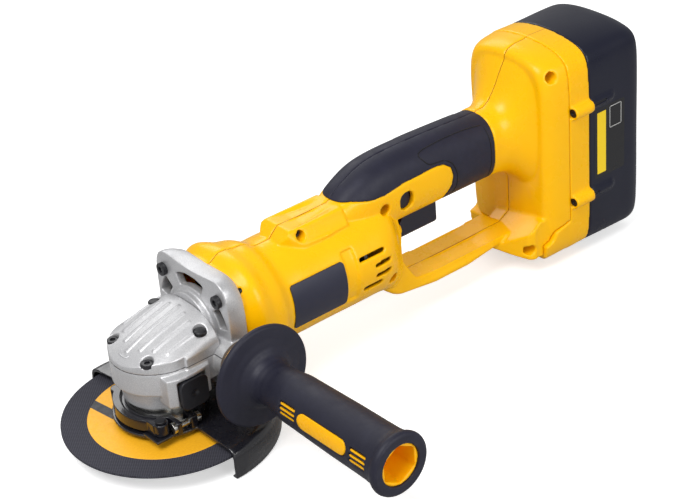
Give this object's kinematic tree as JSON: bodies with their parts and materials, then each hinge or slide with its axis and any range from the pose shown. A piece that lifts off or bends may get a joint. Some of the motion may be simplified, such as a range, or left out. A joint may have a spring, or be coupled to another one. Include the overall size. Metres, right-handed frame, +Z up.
{
  "type": "angle grinder",
  "caption": "Cordless cut-off angle grinder with a cast gear case, guarded wheel, side handle, loop grip and rear battery pack.",
  "frame": {"origin": "lower tip of the spindle, on the spindle's axis", "axes": "+X from the wheel towards the battery pack, +Z up along the spindle, side handle along -Y"},
  "size_m": [0.4295, 0.246, 0.152],
  "materials": {
    "abrasive": "coarse bonded abrasive with a woven texture",
    "machined_steel": "turned steel",
    "gear_steel": "oiled cut steel",
    "bearing_steel": "ground and polished",
    "cast_alloy": "bead-blasted die casting",
    "black_screw": "black oxide",
    "zinc_nut": "zinc plated",
    "spring_steel": "spring wire",
    "guard_black": "gloss black enamel",
    "lever_black": "satin black",
    "button_black": "fine grain",
    "laminations": "stacked laminations",
    "copper": "lacquered copper",
    "motor_steel": "zinc-plated can",
    "magnet": "sintered ferrite",
    "dark_moulding": "glass-filled moulding",
    "carbon": "pressed carbon",
    "yellow_shell": "glossy moulded",
    "grip_rubber": "soft matte overmould",
    "plate_black": "satin inlay",
    "trigger_black": "fine grain",
    "pack_black": "fine grain",
    "cell_wrap": "shrink sleeve",
    "cell_holder": "moulded",
    "contact_brass": "plated contacts",
    "handle_rubber": "soft matte overmould",
    "handle_yellow": "moulded core",
    "spacer_brown": "fibre-filled moulding"
  },
  "bodies": {
    "tool": {"gear_case": "cast_alloy", "gear_cover": "cast_alloy", "gear_cover_screws": "black_screw", "gear_case_screws": "black_screw", "bearing_cap": "machined_steel", "spindle_lower_bearing": "bearing_steel", "spindle_upper_bearing": "bearing_steel", "spindle_lock_spring": "spring_steel", "motor_can": "motor_steel", "field_magnets": "magnet", "motor_front_bearing": "bearing_steel", "motor_rear_bearing": "bearing_steel", "fan_baffle": "dark_moulding", "brush_holders": "dark_moulding", "carbon_brushes": "carbon", "brush_springs": "spring_steel", "housing_right": "yellow_shell", "housing_left": "yellow_shell", "grip_cover_right": "grip_rubber", "grip_cover_left": "grip_rubber", "housing_screws": "black_screw", "name_plate_right": "plate_black", "name_plate_left": "plate_black", "trigger_pin": "machined_steel", "trigger_spring": "spring_steel", "switch_module": "dark_moulding", "terminal_block": "contact_brass"},
    "wheel_spindle": {"spindle": "machined_steel", "ring_gear": "gear_steel", "backing_flange": "machined_steel", "cutting_wheel": "abrasive", "lock_nut": "machined_steel"},
    "armature": {"armature_shaft": "machined_steel", "armature_core": "laminations", "armature_windings": "copper", "commutator": "copper", "fan": "dark_moulding", "pinion": "gear_steel"},
    "guard": {"wheel_guard": "guard_black", "guard_band": "lever_black", "guard_lever_pin": "black_screw", "guard_clamp_bolt": "zinc_nut", "guard_clamp_nut": "zinc_nut"},
    "guard_lever": {"guard_lever": "lever_black"},
    "lock_button": {"spindle_lock_button": "button_black", "spindle_lock_pin": "machined_steel"},
    "trigger": {"trigger": "trigger_black"},
    "lock_off": {"lock_off_button": "trigger_black"},
    "side_handle": {"side_handle_stud": "machined_steel", "side_handle_spacer": "spacer_brown", "side_handle_core": "handle_yellow", "side_handle_grip": "handle_rubber"},
    "pack": {"pack_cover": "yellow_shell", "pack_case": "pack_black", "pack_screws": "black_screw", "pack_cells": "cell_wrap", "cell_holders": "cell_holder", "pack_terminals": "contact_brass"}
  },
  "joints": [
    {"name": "motor_spin", "type": "hinge", "parent": "tool", "child": "armature", "pos_m": [0, 0, 0.0607], "axis": [1, 0, 0], "continuous": true},
    {"name": "wheel_spin", "type": "hinge", "parent": "tool", "child": "wheel_spindle", "pos_m": [0, 0, 0], "axis": [0, 0, 1], "continuous": true},
    {"name": "guard_turn", "type": "hinge", "parent": "tool", "child": "guard", "pos_m": [0, 0, 0.016], "axis": [0, 0, 1], "range_deg": [-90, 50]},
    {"name": "guard_lever_swing", "type": "hinge", "parent": "guard", "child": "guard_lever", "pos_m": [-0.0195, -0.0245, 0.0215], "axis": [0, 0, 1], "range_deg": [0, 100]},
    {"name": "spindle_lock_press", "type": "slide", "parent": "tool", "child": "lock_button", "axis": [0, 1, 0], "range_m": [0, 0.0036], "stiffness_N_per_m": 900, "springref_m": -0.001, "deforming": ["spindle_lock_spring"]},
    {"name": "trigger_pull", "type": "hinge", "parent": "tool", "child": "trigger", "pos_m": [0.1852, 0, 0.0775], "axis": [0, -1, 0], "range_deg": [0, 7], "stiffness_Nm_per_rad": 1, "springref_deg": -5.73, "deforming": ["trigger_spring"]},
    {"name": "lock_off_slide", "type": "slide", "parent": "tool", "child": "lock_off", "axis": [0, -1, 0], "range_m": [0, 0.004]},
    {"name": "side_handle_off", "type": "slide", "parent": "tool", "child": "side_handle", "axis": [0, -1, 0], "range_m": [0, 0.02]},
    {"name": "pack_slide", "type": "slide", "parent": "tool", "child": "pack", "axis": [0, 0, -1], "range_m": [0, 0.022]}
  ],
  "couplings": [
    {"joint": "wheel_spin", "follows": "motor_spin", "ratio": 0.2973}
  ]
}
